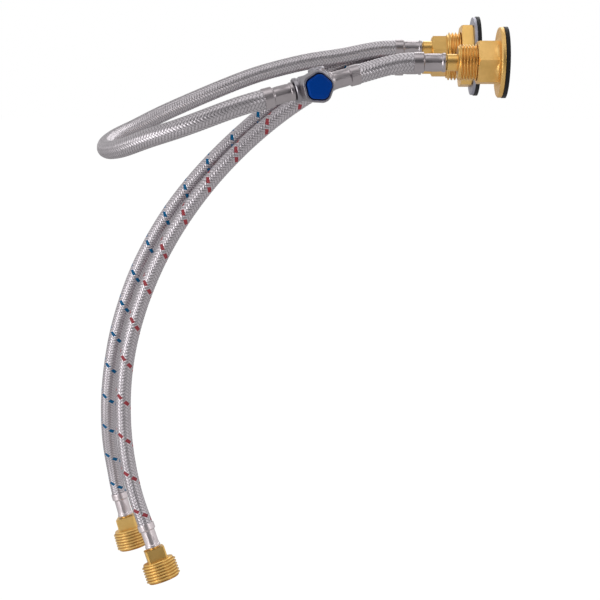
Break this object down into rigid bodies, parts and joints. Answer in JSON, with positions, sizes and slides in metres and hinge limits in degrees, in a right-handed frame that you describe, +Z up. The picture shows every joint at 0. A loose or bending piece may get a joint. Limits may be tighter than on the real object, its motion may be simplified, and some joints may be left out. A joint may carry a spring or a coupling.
{
  "type": "water pressure regulator set",
  "caption": "Small in-line water pressure regulator with a blue cap, in a set of braided hoses between a mixer shank and an outlet shank for wall panels.",
  "frame": {"origin": "centre of the mixer seal ring's outer face, on the mixer fitting's axis", "axes": "+X along both fittings' axes, out through the panel; +Y away from the viewer, from the outlet fitting to the mixer fitting; +Z up"},
  "size_m": [0.2827, 0.2122, 0.4246],
  "materials": {
    "brass": "machined brass, satin",
    "turned_brass": "bright turned brass",
    "crimped_steel": "crimped stainless steel sheet",
    "braid_plain": "rubber hose under a braid of bright steel wire",
    "braid_blue_flecks": "rubber hose under a braid of bright steel wire with blue-green flecks",
    "braid_red_flecks": "rubber hose under a braid of bright steel wire with red flecks",
    "plated_brass": "nickel plated, satin",
    "blue_plastic": "moulded blue plastic, soft gloss",
    "black_rubber": "moulded black rubber, matt",
    "zinc_steel": "zinc plated steel, dull",
    "stainless_steel": "bare stainless steel"
  },
  "bodies": {
    "fittings": {"mixer_shank": "brass", "tail_block": "brass", "block_seal": "black_rubber", "mixer_seal_ring": "black_rubber", "cold_hose_tail": "brass", "hot_hose_tail": "brass", "mixed_hose_tail": "brass", "outlet_shank": "brass", "outlet_hose_tail": "brass", "tail_o_rings": "black_rubber", "cold_top_ferrule": "crimped_steel", "hot_top_ferrule": "crimped_steel", "mixed_top_ferrule": "crimped_steel", "outlet_ferrule": "crimped_steel", "regulator_inlet_ferrule": "crimped_steel", "regulator_outlet_ferrule": "crimped_steel", "cold_bottom_ferrule": "crimped_steel", "hot_bottom_ferrule": "crimped_steel", "cold_hose": "braid_blue_flecks", "hot_hose": "braid_red_flecks", "mixed_hose": "braid_plain", "outlet_hose": "braid_plain", "cold_inlet_connector": "turned_brass", "hot_inlet_connector": "turned_brass", "regulator_body": "plated_brass", "inlet_strainer": "stainless_steel", "valve_seat": "brass", "regulating_spring": "stainless_steel", "bonnet": "plated_brass", "bonnet_seal": "black_rubber", "port_plug": "plated_brass"},
    "mixer_washer": {"mixer_washer": "zinc_steel"},
    "mixer_nut": {"mixer_lock_nut": "turned_brass"},
    "outlet_seal": {"outlet_seal_ring": "black_rubber"},
    "outlet_nut": {"outlet_flange_nut": "turned_brass"},
    "cap": {"cover_cap": "blue_plastic"},
    "spindle": {"adjusting_spindle": "stainless_steel"},
    "plate": {"spring_plate": "brass"},
    "piston": {"piston": "brass", "piston_seal": "black_rubber", "poppet": "brass", "poppet_seal": "black_rubber"}
  },
  "joints": [
    {"name": "mixer_washer_slide", "type": "slide", "parent": "fittings", "child": "mixer_washer", "axis": [1, 0, 0], "range_m": [-0.00693, 0]},
    {"name": "mixer_nut_turn", "type": "hinge", "parent": "mixer_washer", "child": "mixer_nut", "pos_m": [-0.0087, 0, 0], "axis": [1, 0, 0], "range_deg": [-1080, 0]},
    {"name": "outlet_seal_slide", "type": "slide", "parent": "fittings", "child": "outlet_seal", "axis": [1, 0, 0], "range_m": [-0.00908, 0]},
    {"name": "outlet_nut_turn", "type": "hinge", "parent": "outlet_seal", "child": "outlet_nut", "pos_m": [-0.01, -0.15, 0], "axis": [1, 0, 0], "range_deg": [-1800, 0]},
    {"name": "cap_pull", "type": "slide", "parent": "fittings", "child": "cap", "axis": [0.2692, -0.9627, 0.0271], "range_m": [0, 0.006]},
    {"name": "spindle_turn", "type": "hinge", "parent": "fittings", "child": "spindle", "pos_m": [-0.1147, -0.1609, -0.0136], "axis": [0.2692, -0.9627, 0.0271], "range_deg": [-721, 0]},
    {"name": "plate_slide", "type": "slide", "parent": "fittings", "child": "plate", "axis": [0.2692, -0.9627, 0.0271], "range_m": [-0.0014, 0], "deforming": ["regulating_spring"]},
    {"name": "piston_slide", "type": "slide", "parent": "fittings", "child": "piston", "axis": [0.2692, -0.9627, 0.0271], "range_m": [0, 0.0009], "stiffness_N_per_m": 2000, "deforming": ["regulating_spring"]}
  ],
  "couplings": [
    {"joint": "mixer_washer_slide", "follows": "mixer_nut_turn", "m_per_rad": 0.00036749},
    {"joint": "outlet_seal_slide", "follows": "outlet_nut_turn", "m_per_rad": 0.00028871},
    {"joint": "spindle_turn", "follows": "plate_slide", "rad_per_m": 8976}
  ]
}
